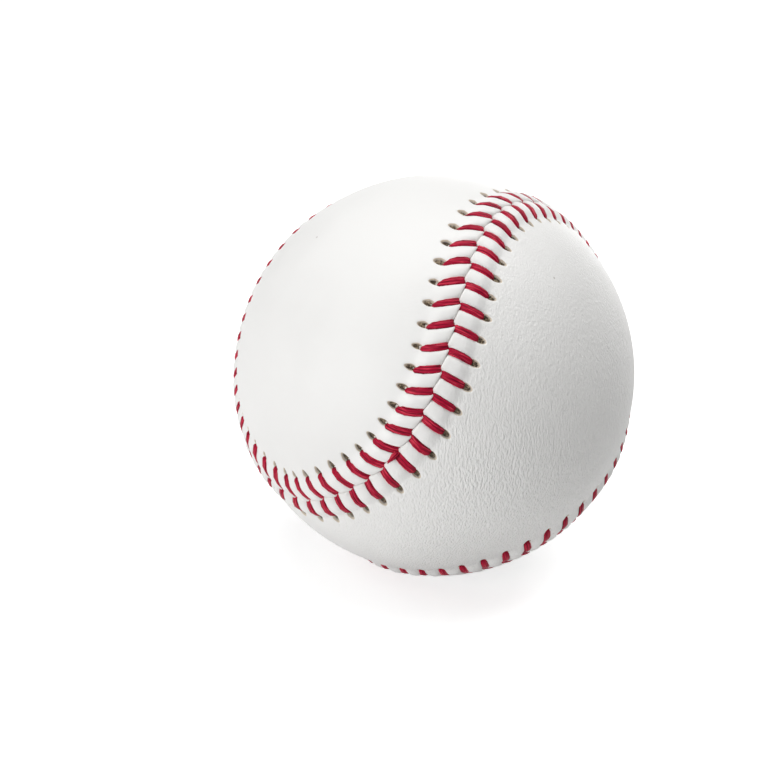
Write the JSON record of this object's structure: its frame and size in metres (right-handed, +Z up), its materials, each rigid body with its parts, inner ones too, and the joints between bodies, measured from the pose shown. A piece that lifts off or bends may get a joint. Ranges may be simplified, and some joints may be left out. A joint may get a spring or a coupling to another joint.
{
  "type": "baseball",
  "caption": "Leather-covered baseball: two figure-eight panels sewn with a raised red double-stitched seam over yarn windings and a cushioned cork centre.",
  "frame": {"origin": "centre of the ball", "axes": "+Z up as the ball stands in the picture, -Y towards the camera's side, +X to the camera's right; -Z points down through the seat of the stand or cup that holds the ball"},
  "size_m": [0.0748, 0.0741, 0.0728],
  "materials": {
    "cork": "pressed cork, matte",
    "black_rubber": "matte",
    "red_rubber": "matte",
    "grey_wool": "wound wool yarn",
    "white_wool": "wound wool yarn",
    "finish_yarn": "wound cotton and polyester yarn",
    "cement": "dried adhesive, dull",
    "leather": "fine full grain, semi matte",
    "thread": "waxed, slight sheen"
  },
  "bodies": {
    "root": {"cork_core": "cork", "inner_shell_upper": "black_rubber", "inner_shell_lower": "black_rubber", "shell_washer": "red_rubber", "rubber_jacket": "red_rubber", "first_winding": "grey_wool", "second_winding": "white_wool", "third_winding": "grey_wool", "finish_winding": "finish_yarn", "cement_coat": "cement", "cover_panel_a": "leather", "cover_panel_b": "leather", "thread_first": "thread", "thread_second": "thread"}
  },
  "joints": []
}
